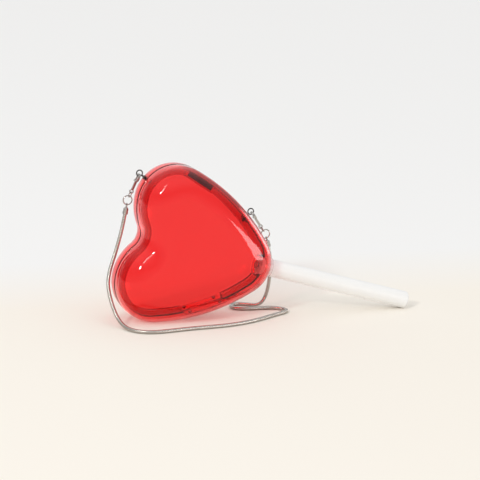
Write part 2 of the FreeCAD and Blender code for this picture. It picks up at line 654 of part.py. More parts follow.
def chain_stretches():
    """The route cut in the middle of three runs, so that neighbours meet face to face on a straight."""
    lists = [[Vector(*p) for p in part] for part in (CHAIN_LEFT, CHAIN_FRONT, CHAIN_LOOPS, CHAIN_RIGHT)]
    lists[0].insert(0, STRAP["left"].exit_point)
    lists[-1].append(STRAP["right"].exit_point)
    route = [STRAP["left"].chain_start] + sum(lists, []) + [STRAP["right"].chain_start]
    stretch_ends = [sum(len(part) for part in lists[:k + 1]) for k in range(len(lists) - 1)]
    tubes, edges, radii = [], [], []
    last = route[0]
    for k in range(1, len(route) - 1):
        first, nearest, end, radius = rounded(route[k - 1], route[k], route[k + 1])
        edges.append(Part.LineSegment(last, first).toShape())
        edges.append(Part.Arc(first, nearest, end).toShape())
        radii.append(radius)
        last = end
        if k in stretch_ends:
            middle = (route[k] + route[k + 1]) * 0.5
            edges.append(Part.LineSegment(last, middle).toShape())
            tubes.append(tube(edges, radii))
            edges, radii = [], []
            last = middle
    edges.append(Part.LineSegment(last, route[-1]).toShape())
    tubes.append(tube(edges, radii))
    names = ("chain_left_drop", "chain_front_run", "chain_tip_loops", "chain_right_drop")
    return dict(zip(names, tubes))


def strap_nodes():
    nodes = {}
    for side, strap in STRAP.items():
        nodes[side + "_clasp_body"] = strap.in_clasp(clasp_body())
        nodes[side + "_clasp_lever"] = strap.in_clasp(clasp_lever())
        nodes[side + "_clasp_pin"] = strap.in_clasp(clasp_pin())
        nodes[side + "_link"] = strap.link_piece()
        nodes[side + "_ring"] = strap.ring_piece()
        nodes[side + "_end_cap"] = strap.end_cap()
    nodes.update(chain_stretches())
    return nodes


def heart_nodes():
    rear_knuckles = range(0, KNUCKLES, 2)
    front_knuckles = range(1, KNUCKLES, 2)
    nodes = {
        "rear_shell": rear_shell(),
        "front_shell": front_shell(),
        "stick_socket": stick_socket(),
        "lollipop_stick": lollipop_stick(),
        "stick_screw": stick_screw(),
        "hinge_rear_leaf": hinge_leaf(1, rear_knuckles),
        "hinge_front_leaf": hinge_leaf(-1, front_knuckles),
        "hinge_pin": hinge_pin(),
        "hinge_rear_screws": hinge_screws(1),
        "hinge_front_screws": hinge_screws(-1),
        "rear_magnet": magnet(1),
        "front_magnet": magnet(-1),
        "left_eyelet": screw_eye(EYE_PLACES["left"]),
        "right_eyelet": screw_eye(EYE_PLACES["right"]),
        "eyelet_washers": eye_washers(),
        "eyelet_nuts": eye_nuts()}
    return {name: stand(shape) for name, shape in nodes.items()}


def report_frame():
    """Print the joints' places for the record."""
    axis_point = STANDING.multVec(HINGE_PLACE.multVec(Vector(0, 0, HINGE_AXIS)))
    axis_end = STANDING.multVec(HINGE_PLACE.multVec(Vector(1, 0, HINGE_AXIS)))
    print("tilt %.3f deg, heart height %.3f" % (math.degrees(TILT), HEART_HEIGHT))
    print("hinge axis through", axis_point, "along", axis_end - axis_point)
    for side, strap in STRAP.items():
        pivot = strap.clasp_place.multVec(Vector(LEVER_PIVOT[0], LEVER_PIVOT[1], 0))
        normal = strap.clasp_place.multVec(Vector(LEVER_PIVOT[0], LEVER_PIVOT[1], 1)) - pivot
        print(side, "lever pivot", pivot, "along", normal)
        print(side, "chain starts", strap.chain_start, "first point", strap.exit_point)


def main():
    os.makedirs("parts", exist_ok=True)
    nodes = heart_nodes()
    nodes.update(strap_nodes())
    for name, shape in nodes.items():
        shape.exportStep("parts/%s.step" % name)
        facts = (name, len(shape.Solids), shape.isValid(), shape.Volume)
        print("%-20s solids %d valid %s volume %.1f" % facts)
    report_frame()


main()
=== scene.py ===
import json
import math

import bmesh
import bpy
from mathutils import Matrix, Vector


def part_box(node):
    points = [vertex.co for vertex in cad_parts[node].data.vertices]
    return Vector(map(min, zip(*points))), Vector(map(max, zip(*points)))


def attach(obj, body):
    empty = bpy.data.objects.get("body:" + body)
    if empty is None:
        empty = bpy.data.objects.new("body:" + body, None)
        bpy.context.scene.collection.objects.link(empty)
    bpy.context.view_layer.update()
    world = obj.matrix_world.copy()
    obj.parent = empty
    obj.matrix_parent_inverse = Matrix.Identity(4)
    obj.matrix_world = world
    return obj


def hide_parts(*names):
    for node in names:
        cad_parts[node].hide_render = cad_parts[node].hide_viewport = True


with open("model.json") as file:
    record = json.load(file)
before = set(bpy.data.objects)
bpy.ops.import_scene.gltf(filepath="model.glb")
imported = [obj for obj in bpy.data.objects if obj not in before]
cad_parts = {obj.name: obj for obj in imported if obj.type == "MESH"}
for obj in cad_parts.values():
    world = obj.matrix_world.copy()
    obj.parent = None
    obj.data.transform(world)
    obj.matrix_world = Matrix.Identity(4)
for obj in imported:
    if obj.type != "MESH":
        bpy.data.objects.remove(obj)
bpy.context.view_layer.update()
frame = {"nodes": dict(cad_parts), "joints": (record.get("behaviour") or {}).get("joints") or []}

# Looks of the heart-shaped lollipop purse: clear red acrylic halves, white stick, metal strap.
# Lengths are in metres. Heart frame: X from lobes to tip, Y to the back, Z across, seam at Y = 0.

LID_HINGE = next(joint for joint in frame["joints"] if joint["name"] == "lid_hinge")
MM = 0.001

# Outline of the heart, as in the solids
LOBE_RADIUS = 40.0 * MM
LOBE_OFFSET = 41.5 * MM
CROWN_RADIUS = 52.5 * MM
NOTCH_RADIUS = 17.0 * MM
TIP_CENTRE = 78.5 * MM
TIP_RADIUS = 36.5 * MM
FLANK_RADIUS = 205.0 * MM
TIP = TIP_CENTRE + TIP_RADIUS

# Walls of the halves, as in the solids
SHELL_DEPTH = 35.0 * MM
EDGE_RADIUS = 27.0 * MM
WALL = 3.0 * MM
RIM_WIDTH = 7.0 * MM
RIM_DEPTH = 4.0 * MM
HALF_SEAM = 0.1 * MM

# Finish of the halves: how far the rounding runs on into the domed faces, and the edge at the seam
DOME_REACH = 36.0 * MM
SEAM_ROUND = 1.2 * MM

# Clearances of pieces that seat and of pieces that move
FIT = 0.05 * MM
RUNNING = 0.3 * MM

# Cradle of the stick's socket in the tip
STICK_RADIUS = 9.0 * MM
SOCKET_WALL = 1.0 * MM
SOCKET_DEPTH = 10.0 * MM
CRADLE_WALL = 2.5 * MM
SOCKET_RADIUS = STICK_RADIUS + FIT + SOCKET_WALL
SOCKET_START = TIP - SOCKET_DEPTH

# Hinge on the lower flank: levels are inwards from the outline, the pad and the leaf reach away from the seam
HINGE_AT = 62.0 * MM
HINGE_HALF = 22.0 * MM
KNUCKLE_RADIUS = 2.2 * MM
LEAF_THICKNESS = 1.2 * MM
LEAF_WIDTH = 11.0 * MM
PAD_MARGIN = 2.0 * MM
PAD_LEVEL = 4.505 * MM
STOP_MARGIN_DEG = 2.0
PAD_HALF = HINGE_HALF + PAD_MARGIN
LEAF_TOP = PAD_LEVEL + LEAF_THICKNESS
HINGE_AXIS = LEAF_TOP - KNUCKLE_RADIUS
BARREL_ROOM = KNUCKLE_RADIUS + RUNNING
LEAF_EDGE = max(BARREL_ROOM, RIM_DEPTH) + RUNNING
PAD_END = LEAF_EDGE + LEAF_WIDTH + RUNNING
BEVEL = math.tan(math.radians((LID_HINGE["range_deg"][1] + STOP_MARGIN_DEG) / 2))

# Magnets on the upper flank
MAGNET_AT = 20.0 * MM
MAGNET_HALF = 15.0 * MM
MAGNET_WIDTH = 7.0 * MM
MAGNET_THICKNESS = 3.0 * MM
MAGNET_INSET = 3.0 * MM
MAGNET_SEAT = 2.0 * MM

# Bosses of the strap's eyes
EYE_DEPTH = 10.0 * MM
EYE_BOSS_RADIUS = 4.5 * MM
EYE_BOSS_HEIGHT = 1.5 * MM
LEFT_EYE_ANGLE = math.radians(155.0)
RIGHT_EYE_AT = 82.0 * MM

# Fineness of the meshes: points per arc of the half outline, rows of the roundings, sides and creases
ARC_STEPS = (14, 34, 64, 64, 28)
EDGE_STEPS = 24
ROUND_STEPS = 4
ROD_SIDES = 64
CHAIN_SIDES = 18
ROUTE_STEPS = 24
SHELL_CREASE = math.radians(35.0)
CHAIN_CREASE = math.radians(60.0)
SLIVER = 0.002 * MM

# Chain: its links' grooves, as shares of the full groove along one link, and its route in millimetres
CHAIN_RADIUS = 2.0 * MM
LINK_PITCH = 1.7 * MM
LINK_GROOVE = 0.22 * MM
LINK_PROFILE = (1.0, 0.45, 0.0, 0.45)
CHAIN_ROUTE = [
    (-149.899, 10.0, 108.685), (-152.132, 10.0, 94.865), (-155.8, 9.8, 80.0), (-160.2, 8.8, 65.0),
    (-165.4, 6.2, 51.5), (-168.3, 1.8, 39.5), (-168.2, -5.5, 28.0), (-166.4, -13.0, 17.5),
    (-164.0, -21.5, 8.5), (-160.8, -31.5, 3.2), (-157.0, -43.0, 2.1), (-148.5, -53.2, 2.1),
    (-134.5, -56.2, 2.1), (-117.0, -53.2, 2.1), (-98.5, -49.2, 2.1), (-78.5, -46.8, 2.1),
    (-56.0, -43.8, 2.1), (-34.0, -37.0, 2.1), (-12.0, -25.4, 2.1), (7.0, -12.5, 2.1),
    (20.5, -4.2, 2.1), (28.2, 2.6, 2.1), (25.6, 11.8, 2.1), (16.5, 18.2, 2.1), (4.0, 18.8, 2.1),
    (-8.0, 17.6, 2.1), (-19.5, 19.5, 2.1), (-25.8, 26.5, 2.1), (-22.6, 36.0, 2.1), (-14.5, 41.8, 2.1),
    (-5.0, 36.0, 2.1), (3.0, 30.5, 2.1), (9.6, 29.5, 5.0), (13.4, 28.4, 13.5), (13.9, 24.2, 25.5),
    (13.2, 20.2, 37.0), (12.3, 16.6, 48.0), (9.410, 13.006, 60.863), (6.705, 11.653, 69.339)]
STRAP_PIECES = [side + "_" + piece for side in ("left", "right")
                for piece in ("end_cap", "ring", "link", "clasp_body", "clasp_lever", "clasp_pin")]

# Clear plastics: tint that their depth gives, level of their mirroring, and what light keeps in passing
DEEP_RED = (1.0, 0.0, 0.0)
MIRROR_TINT = (0.65, 0.65, 0.65)
SHADOW_TINT = (0.8, 0.73, 0.73)
BOUNCE_TINT = (0.97, 0.96, 0.96)
ACRYLIC_DENSITY = 60.0
ACRYLIC_IOR = 1.45

# Noise in the materials, and how much finer a metal's bumps are than its change of roughness
NOISE_DETAIL = 3.0
METAL_BUMP_FINENESS = 4.0

# Floor: its half side, its two colours, and where one turns into the other behind the object
FLOOR_HALF = 6.0
FLOOR_CREAM = (0.93, 0.885, 0.81)
BACKDROP_WHITE = (0.91, 0.91, 0.905)
FLOOR_TURN = (0.06, 0.26)
FLOOR_ROUGHNESS = 0.9

# Brightness of the studio's room
ROOM_STRENGTH = 0.99
DARK_LEVEL = 0.35
BRIGHT_LEVEL = 1.0
LOW_FRONT_LEVEL = 0.8

# Camera of the photograph, for a 480 pixel square image
IMAGE_SIDE = 480.0
FOCAL_PIXELS = 2446.2
SENSOR_WIDTH = 36.0
VIEW_END = 50.0
CAMERA_DISTANCE = 2.5
CAMERA_TARGET = Vector((-28.95 * MM, 0.0, 79.66 * MM))
CAMERA_AZIMUTH = math.radians(-20.459)
CAMERA_ELEVATION = math.radians(12.42)
CAMERA_ROLL = math.radians(2.471)


def flank_centre():
    """Centre of the upper flank's arc, which the lobe and the tip arcs touch from inside."""
    to_lobe = FLANK_RADIUS - LOBE_RADIUS
    to_tip = FLANK_RADIUS - TIP_RADIUS
    span = math.hypot(TIP_CENTRE, LOBE_OFFSET)
    along = (to_lobe**2 - to_tip**2 + span**2) / (2 * span)
    away = math.sqrt(to_lobe**2 - along**2)
    ux, uz = TIP_CENTRE / span, -LOBE_OFFSET / span
    return (along * ux + away * uz, LOBE_OFFSET + along * uz - away * ux)


FLANK = flank_centre()


def flank_turn(at):
    """Angle between the flank and the heart's axis at a place along that axis."""
    return math.asin((at - FLANK[0]) / FLANK_RADIUS)


def half_outline(inset):
    """Upper half of the outline from notch to tip, drawn in by an inset."""
    crown = (CROWN_RADIUS - LOBE_RADIUS, LOBE_OFFSET)
    notch = crown[0] - math.sqrt((CROWN_RADIUS + NOTCH_RADIUS)**2 - LOBE_OFFSET**2)
    notch_turn = math.atan2(LOBE_OFFSET, crown[0] - notch)
    flank_start = math.atan2(LOBE_OFFSET - FLANK[1], -FLANK[0])
    flank_end = math.atan2(-FLANK[1], TIP_CENTRE - FLANK[0])
    arcs = [
        ((notch, 0.0), NOTCH_RADIUS + inset, 0.0, notch_turn),
        (crown, CROWN_RADIUS - inset, notch_turn + math.pi, math.pi),
        ((0.0, LOBE_OFFSET), LOBE_RADIUS - inset, math.pi, flank_start),
        (FLANK, FLANK_RADIUS - inset, flank_start, flank_end),
        ((TIP_CENTRE, 0.0), TIP_RADIUS - inset, flank_end, 0.0)]
    points = []
    for (centre, radius, first, last), steps in zip(arcs, ARC_STEPS):
        for k in range(steps):
            angle = first + (last - first) * k / steps
            points.append((centre[0] + radius * math.cos(angle), centre[1] + radius * math.sin(angle)))
    points.append((TIP - inset, 0.0))
    return points


def outline(inset):
    """Closed outline as points along and across the heart."""
    upper = half_outline(inset)
    return upper + [(p, -q) for p, q in reversed(upper[1:-1])]


def standing_matrix():
    """Heart frame to the part's frame, from the hinge's slope and the rear half's box."""
    tilt = flank_turn(HINGE_AT) - math.atan2(LID_HINGE["axis"][2], LID_HINGE["axis"][0])
    turn = Matrix.Rotation(tilt, 4, "Y")
    corners = [turn @ Vector((p, 0, q)) for p, q in outline(0.0)]
    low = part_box("rear_shell")[0]
    shift = Vector((low.x - min(c.x for c in corners), 0, low.z - min(c.z for c in corners)))
    return Matrix.Translation(shift) @ turn


STAND = standing_matrix()


def flank_matrix(at, upper):
    """Frame on a flank: X to the tip, Y to the back, Z inwards on the lower, outwards on the upper."""
    turn = flank_turn(at)
    height = FLANK[1] + FLANK_RADIUS * math.cos(turn)
    side = 1 if upper else -1
    return STAND @ Matrix.Translation((at, 0, side * height)) @ Matrix.Rotation(side * turn, 4, "Y")


def lobe_matrix(angle):
    """Frame on the upper lobe with Z outwards."""
    foot = (LOBE_RADIUS * math.cos(angle), 0, LOBE_OFFSET + LOBE_RADIUS * math.sin(angle))
    return STAND @ Matrix.Translation(foot) @ Matrix.Rotation(math.pi / 2 - angle, 4, "Y")


HINGE = flank_matrix(HINGE_AT, False)
MAGNET = flank_matrix(MAGNET_AT, True)


def new_object(name, bm):
    """Object made from a bmesh, its normals turned outwards."""
    bmesh.ops.recalc_face_normals(bm, faces=bm.faces)
    mesh = bpy.data.meshes.new(name)
    bm.to_mesh(mesh)
    bm.free()
    obj = bpy.data.objects.new(name, mesh)
    bpy.context.scene.collection.objects.link(obj)
    return obj


def join_rings(bm, first, last):
    """Faces between two rings of as many points."""
    count = len(first)
    for k in range(count):
        after = (k + 1) % count
        bm.faces.new((first[k], first[after], last[after], last[k]))


def smooth(obj, crease):
    """Smooth shading with crisp edges where faces meet at more than an angle."""
    obj.data.shade_smooth()
    obj.data.set_sharp_from_angle(angle=crease)


def remove_slivers(obj):
    """Take out the thinnest faces that cutting leaves."""
    bm = bmesh.new()
    bm.from_mesh(obj.data)
    bmesh.ops.remove_doubles(bm, verts=bm.verts, dist=SLIVER)
    bmesh.ops.dissolve_degenerate(bm, edges=bm.edges, dist=SLIVER)
    bm.to_mesh(obj.data)
    bm.free()


def box_tool(matrix, x, y, z):
    """Box between pairs of limits in a local frame, made from a unit cube about the origin."""
    bm = bmesh.new()
    bmesh.ops.create_cube(bm, size=1.0)
    for v in bm.verts:
        place = [low + (high - low) * (c + 0.5) for c, (low, high) in zip(v.co, (x, y, z))]
        v.co = matrix @ Vector(place)
    return new_object("tool", bm)


def rod_tool(matrix, radius, low, high, axis):
    """Cylinder between two places along a local X or Z axis."""
    bm = bmesh.new()
    bmesh.ops.create_cone(bm, cap_ends=True, segments=ROD_SIDES, radius1=radius, radius2=radius,
                          depth=high - low)
    middle = Matrix.Translation((0, 0, (low + high) / 2))
    turn = Matrix.Rotation(math.pi / 2, 4, "Y") if axis == "X" else Matrix.Identity(4)
    bmesh.ops.transform(bm, matrix=matrix @ turn @ middle, verts=bm.verts)
    return new_object("tool", bm)


def bevel_tool():
    """Wedge that bevels the outer edges of both halves where the flank lies outside the hinge's axis."""
    drop = HINGE_AXIS + WALL
    reach = math.sqrt(2 * FLANK_RADIUS * HINGE_AXIS) + WALL
    bm = bmesh.new()
    ends = []
    for x in (-reach, reach):
        corners = [(x, 0, HINGE_AXIS), (x, drop * BEVEL, -WALL), (x, -drop * BEVEL, -WALL)]
        ends.append([bm.verts.new(HINGE @ Vector(c)) for c in corners])
    first, last = ends
    bm.faces.new(first)
    bm.faces.new(reversed(last))
    join_rings(bm, first, last)
    return new_object("tool", bm)


def combine(obj, tool, operation):
    """Join, cut or keep the common part of an object and a tool, which is used up."""
    change = obj.modifiers.new("combine", "BOOLEAN")
    change.operation = operation
    change.solver = "EXACT"
    change.object = tool
    bpy.context.view_layer.update()
    made = bpy.data.meshes.new_from_object(obj.evaluated_get(bpy.context.evaluated_depsgraph_get()))
    obj.modifiers.clear()
    obj.data = made
    bpy.data.objects.remove(tool)


def heart_body(name, side, rows):
    """Closed body of outline rows, each an inset and a depth on one side of the seam."""
    bm = bmesh.new()
    loops = []
    for inset, depth in rows:
        loops.append([bm.verts.new(STAND @ Vector((p, side * depth, q))) for p, q in outline(inset)])
    bm.faces.new(loops[0])
    bm.faces.new(loops[-1])
    for first, last in zip(loops, loops[1:]):
        join_rings(bm, first, last)
    return new_object(name, bm)


def domed_rows(inset, depth, radius):
    """Rows of a rounded edge that runs on into a gently domed face at a depth.

    The power gives the edge its full radius where it leaves the side wall.
    """
    reach = DOME_REACH - inset
    power = 2 * reach / radius
    rows = []
    for k in range(EDGE_STEPS + 1):
        share = (k / EDGE_STEPS)**2
        rows.append((inset + reach * share, depth - radius + radius * math.sqrt(1 - (1 - share)**power)))
    return rows


def outer_body(name, side, inset=0.0):
    """Solid of the outer form of one half, drawn in by an inset, with a rounded edge at the seam."""
    rows = []
    for k in range(ROUND_STEPS + 1):
        turn = math.pi / 2 * k / ROUND_STEPS
        across = inset + SEAM_ROUND * (1 - math.sin(turn))
        rows.append((across, HALF_SEAM + SEAM_ROUND * (1 - math.cos(turn))))
    rows += domed_rows(inset, SHELL_DEPTH - inset, EDGE_RADIUS - inset)
    return heart_body(name, side, rows)


def half_shell(name, side):
    """Hollow half with a thicker rim at the seam."""
    shell = outer_body(name, side)
    rim_end = HALF_SEAM + RIM_DEPTH
    hollow = [(WALL, rim_end)] + domed_rows(WALL, SHELL_DEPTH - WALL, EDGE_RADIUS - WALL)
    mouth = [(WALL + RIM_WIDTH, -HALF_SEAM), (WALL + RIM_WIDTH, rim_end + HALF_SEAM)]
    for rows in (hollow, mouth):
        combine(shell, heart_body("tool", side, rows), "DIFFERENCE")
    return shell


def on_side(side, low, high):
    """Depth limits on one side of the seam in rising order."""
    return tuple(sorted((side * low, side * high)))


def add_fitting(shell, tool, side):
    """Mould a fitting into a half, kept inside its wall."""
    combine(tool, outer_body("tool", side, WALL / 2), "INTERSECT")
    combine(shell, tool, "UNION")


def add_magnet_seat(shell, side):
    """Block under the rim with a pocket for the magnet, open at the seam."""
    end = HALF_SEAM + MAGNET_THICKNESS + MAGNET_SEAT
    half = MAGNET_HALF + MAGNET_SEAT
    deep = -MAGNET_INSET - MAGNET_WIDTH - MAGNET_SEAT
    add_fitting(shell, box_tool(MAGNET, (-half, half), on_side(side, HALF_SEAM, end), (deep, 0)), side)
    grow = MAGNET_HALF + FIT
    depths = on_side(side, -HALF_SEAM, HALF_SEAM + MAGNET_THICKNESS)
    heights = (-MAGNET_INSET - MAGNET_WIDTH - FIT, -MAGNET_INSET + FIT)
    combine(shell, box_tool(MAGNET, (-grow, grow), depths, heights), "DIFFERENCE")


def add_hinge_seat(shell, side):
    """Pad under a leaf, with room for the leaf and the barrel, and the bevel that lets the lid swing."""
    depths = on_side(side, HALF_SEAM, PAD_END)
    pad = box_tool(HINGE, (-PAD_HALF, PAD_HALF), depths, (WALL / 2, PAD_LEVEL - FIT))
    add_fitting(shell, pad, side)
    half = HINGE_HALF + RUNNING
    above = LEAF_TOP + RIM_WIDTH + WALL
    barrel_room = box_tool(HINGE, (-half, half), (-BARREL_ROOM, BARREL_ROOM), (-WALL, above))
    combine(shell, barrel_room, "DIFFERENCE")
    leaf_room = box_tool(HINGE, (-half, half), (-PAD_END, PAD_END), (PAD_LEVEL, above))
    combine(shell, leaf_room, "DIFFERENCE")
    combine(shell, bevel_tool(), "DIFFERENCE")


def cut_socket(shell, clearance):
    """Round opening in the tip for the stick's socket."""
    radius = SOCKET_RADIUS + clearance
    combine(shell, rod_tool(STAND, radius, SOCKET_START - WALL, TIP + WALL, "X"), "DIFFERENCE")


def rear_shell():
    """Rear half, which carries the stick's cradle and the bosses of the strap's eyes."""
    shell = half_shell("rear_shell_clear", 1)
    add_magnet_seat(shell, 1)
    add_hinge_seat(shell, 1)
    add_fitting(shell, rod_tool(STAND, SOCKET_RADIUS + CRADLE_WALL, SOCKET_START, TIP, "X"), 1)
    cut_socket(shell, FIT)
    for place in (lobe_matrix(LEFT_EYE_ANGLE), flank_matrix(RIGHT_EYE_AT, True)):
        seat = place @ Matrix.Translation((0, EYE_DEPTH, 0))
        boss = rod_tool(seat, EYE_BOSS_RADIUS, -WALL - EYE_BOSS_HEIGHT, -WALL / 2, "Z")
        combine(shell, boss, "UNION")
    return shell


def front_shell():
    """Front half, the lid, which clears the stick's socket."""
    shell = half_shell("front_shell_clear", -1)
    add_magnet_seat(shell, -1)
    add_hinge_seat(shell, -1)
    cut_socket(shell, RUNNING)
    return shell


def route_line():
    """Points of the chain's smooth line, read from one NURBS spline with the route as control points."""
    curve = bpy.data.curves.new("chain_route", "CURVE")
    curve.dimensions = "3D"
    curve.resolution_u = ROUTE_STEPS
    spline = curve.splines.new("NURBS")
    spline.points.add(len(CHAIN_ROUTE) - 1)
    for point, place in zip(spline.points, CHAIN_ROUTE):
        point.co = (*[c * MM for c in place], 1.0)
    spline.order_u = 3
    spline.use_endpoint_u = True
    holder = bpy.data.objects.new("chain_route", curve)
    bpy.context.scene.collection.objects.link(holder)
    bpy.context.view_layer.update()
    mesh = bpy.data.meshes.new_from_object(holder.evaluated_get(bpy.context.evaluated_depsgraph_get()))
    line = [v.co.copy() for v in mesh.vertices]
    bpy.data.objects.remove(holder)
    return line


def evenly(line, step):
    """Places and directions at even steps along a line."""
    lengths = [0.0]
    for a, b in zip(line, line[1:]):
        lengths.append(lengths[-1] + (b - a).length)
    count = round(lengths[-1] / step)
    found, k = [], 0
    for n in range(count + 1):
        wanted = min(lengths[-1] * n / count, lengths[-1])
        while k < len(line) - 2 and lengths[k + 1] < wanted:
            k += 1
        share = (wanted - lengths[k]) / (lengths[k + 1] - lengths[k])
        found.append((line[k].lerp(line[k + 1], share), (line[k + 1] - line[k]).normalized()))
    return found


def snake_chain(line):
    """Snake chain: a tube of close-set bowed links along the line."""
    steps_per_link = len(LINK_PROFILE)
    bm = bmesh.new()
    rings = []
    side = Vector((0, 1, 0))
    for n, (place, ahead) in enumerate(evenly(line, LINK_PITCH / steps_per_link)):
        side = (side - ahead * side.dot(ahead)).normalized()
        other = ahead.cross(side)
        radius = CHAIN_RADIUS - LINK_GROOVE * LINK_PROFILE[n % steps_per_link]
        ring = []
        for k in range(CHAIN_SIDES):
            angle = 2 * math.pi * k / CHAIN_SIDES
            ring.append(bm.verts.new(place + (side * math.cos(angle) + other * math.sin(angle)) * radius))
        rings.append(ring)
    for first, last in zip(rings, rings[1:]):
        join_rings(bm, first, last)
    bm.faces.new(rings[0])
    bm.faces.new(rings[-1])
    obj = new_object("snake_chain", bm)
    smooth(obj, CHAIN_CREASE)
    return obj


def set_inputs(node, values):
    """Set a node's inputs by their names."""
    for name, value in values.items():
        node.inputs[name].default_value = value


def opaque(colour):
    """Colour with full alpha."""
    return (*colour, 1)


def new_material(name):
    """Material with one Principled shader; returns the material, its nodes, links and shader."""
    material = bpy.data.materials.new(name)
    material.use_nodes = True
    tree = material.node_tree
    return material, tree.nodes, tree.links, tree.nodes["Principled BSDF"]


def noise(nodes, links, scale):
    """Level of a noise in the object's own coordinates."""
    place = nodes.new("ShaderNodeTexCoord")
    texture = nodes.new("ShaderNodeTexNoise")
    set_inputs(texture, {"Scale": scale, "Detail": NOISE_DETAIL})
    links.new(place.outputs["Object"], texture.inputs["Vector"])
    return texture.outputs["Fac"]


def remap(nodes, links, level, source=(0.0, 1.0), result=(0.0, 1.0)):
    """A level brought from one pair of limits to another."""
    spread = nodes.new("ShaderNodeMapRange")
    set_inputs(spread, {"From Min": source[0], "From Max": source[1],
                        "To Min": result[0], "To Max": result[1]})
    links.new(level, spread.inputs["Value"])
    return spread.outputs["Result"]


def vary_roughness(nodes, links, shader, scale, roughness):
    """Roughness that wanders between a low and a high value."""
    level = remap(nodes, links, noise(nodes, links, scale), result=roughness)
    links.new(level, shader.inputs["Roughness"])


def add_bump(nodes, links, shader, scale, strength, distance):
    """Faint unevenness of the surface."""
    bump = nodes.new("ShaderNodeBump")
    set_inputs(bump, {"Strength": strength, "Distance": distance})
    links.new(noise(nodes, links, scale), bump.inputs["Height"])
    links.new(bump.outputs["Normal"], shader.inputs["Normal"])


def two_tone(nodes, links, shader, level, first, second):
    """Base colour that runs from one colour to another with a level."""
    ramp = nodes.new("ShaderNodeValToRGB")
    for stop, colour in zip(ramp.color_ramp.elements, (first, second)):
        stop.color = opaque(colour)
    links.new(level, ramp.inputs["Fac"])
    links.new(ramp.outputs["Color"], shader.inputs["Base Color"])


def let_light_through(nodes, links, shader):
    """Surface that lamps and bounced light pass straight through, a little tinted."""
    rays = nodes.new("ShaderNodeLightPath")
    seen = shader.outputs["BSDF"]
    for ray, tint in (("Is Shadow Ray", SHADOW_TINT), ("Is Diffuse Ray", BOUNCE_TINT)):
        through = nodes.new("ShaderNodeBsdfTransparent")
        set_inputs(through, {"Color": opaque(tint)})
        mix = nodes.new("ShaderNodeMixShader")
        links.new(rays.outputs[ray], mix.inputs["Fac"])
        links.new(seen, mix.inputs[1])
        links.new(through.outputs["BSDF"], mix.inputs[2])
        seen = mix.outputs["Shader"]
    links.new(seen, nodes["Material Output"].inputs["Surface"])


def clear_plastic(name, surface, density, ior, roughness):
    """Polished clear plastic, tinted red by the depth of material."""
    material, nodes, links, shader = new_material(name)
    set_inputs(shader, {"Base Color": opaque(surface), "IOR": ior, "Transmission Weight": 1.0,
                        "Specular Tint": opaque(MIRROR_TINT)})
    vary_roughness(nodes, links, shader, scale=60.0, roughness=roughness)
    add_bump(nodes, links, shader, scale=45.0, strength=0.05, distance=0.4 * MM)
    let_light_through(nodes, links, shader)
    depth = nodes.new("ShaderNodeVolumeAbsorption")
    set_inputs(depth, {"Color": opaque(DEEP_RED), "Density": density})
    links.new(depth.outputs["Volume"], nodes["Material Output"].inputs["Volume"])
    return material


def red_acrylic():
    """Walls of the halves and the hinge's leaves."""
    return clear_plastic("red_acrylic", surface=(1.0, 0.205, 0.205), density=ACRYLIC_DENSITY,
                         ior=ACRYLIC_IOR, roughness=(0.03, 0.045))


def red_acrylic_rim_painted_shade():
    """Faces of the halves that meet at the seam: a darker colour that is painted shade for the dark band
    along the seam, and a rougher, less polished finish.
    """
    # The darker surface colour here is painted shade along the seam; the higher roughness is the rim's own
    # finish.
    return clear_plastic("red_acrylic_rim_painted_shade", surface=(0.65, 0.15, 0.17), density=ACRYLIC_DENSITY,
                         ior=ACRYLIC_IOR, roughness=(0.08, 0.12))


def clear_pink():
    """The stick's socket."""
    return clear_plastic("clear_pink", surface=(1.0, 0.96, 0.965), density=25.0, ior=1.08,
                         roughness=(0.03, 0.045))


def metal(name, colour, scale, roughness):
    """Metal with fine wear."""
    material, nodes, links, shader = new_material(name)
    set_inputs(shader, {"Base Color": opaque(colour), "Metallic": 1.0})
    vary_roughness(nodes, links, shader, scale, roughness)
    add_bump(nodes, links, shader, scale=METAL_BUMP_FINENESS * scale, strength=0.06, distance=0.1 * MM)
    return material


def white_plastic():
    """Satin white of the stick."""
    material, nodes, links, shader = new_material("white_stick")
    level = noise(nodes, links, scale=35.0)
    two_tone(nodes, links, shader, level, first=(0.9, 0.9, 0.895), second=(0.94, 0.94, 0.935))
    vary_roughness(nodes, links, shader, scale=80.0, roughness=(0.38, 0.5))
    add_bump(nodes, links, shader, scale=320.0, strength=0.08, distance=0.2 * MM)
    return material


def paint(names, material):
    """Give CAD nodes a material in place of their packed one."""
    for name in names:
        slots = frame["nodes"][name].data.materials
        slots.clear()
        slots.append(material)


def dress_fittings(acrylic):
    """Materials of the stick, the hinge, the magnets and the strap's fittings."""
    strap = metal("strap_metal", colour=(0.44, 0.42, 0.4), scale=300.0, roughness=(0.12, 0.24))
    eye = metal("eye_metal", colour=(0.07, 0.067, 0.064), scale=300.0, roughness=(0.15, 0.28))
    hinge = metal("hinge_steel", colour=(0.3, 0.29, 0.28), scale=120.0, roughness=(0.22, 0.38))
    magnet = metal("magnet_nickel", colour=(0.32, 0.31, 0.31), scale=90.0, roughness=(0.25, 0.4))
    paint(STRAP_PIECES + ["stick_screw"], strap)
    paint(["left_eyelet", "right_eyelet", "eyelet_washers", "eyelet_nuts"], eye)
    paint(["hinge_pin", "hinge_rear_screws", "hinge_front_screws"], hinge)
    paint(["hinge_rear_leaf", "hinge_front_leaf"], acrylic)
    paint(["rear_magnet", "front_magnet"], magnet)
    paint(["lollipop_stick"], white_plastic())
    paint(["stick_socket"], clear_pink())


def dress_shell(shell, node, body, acrylic, painted_shade_rim):
    """Finish one half: polished walls, and on the faces at the seam the rim's material, whose darker colour
    is painted shade.
    """
    remove_slivers(shell)
    smooth(shell, SHELL_CREASE)
    shell.data.materials.clear()
    shell.data.materials.append(acrylic)
    shell.data.materials.append(painted_shade_rim)
    # Faces at the seam take the second material, darkened as painted shade.
    for face in shell.data.polygons:
        face.material_index = int(abs(face.center.y) < HALF_SEAM + FIT)
    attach(shell, body)
    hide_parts(node)


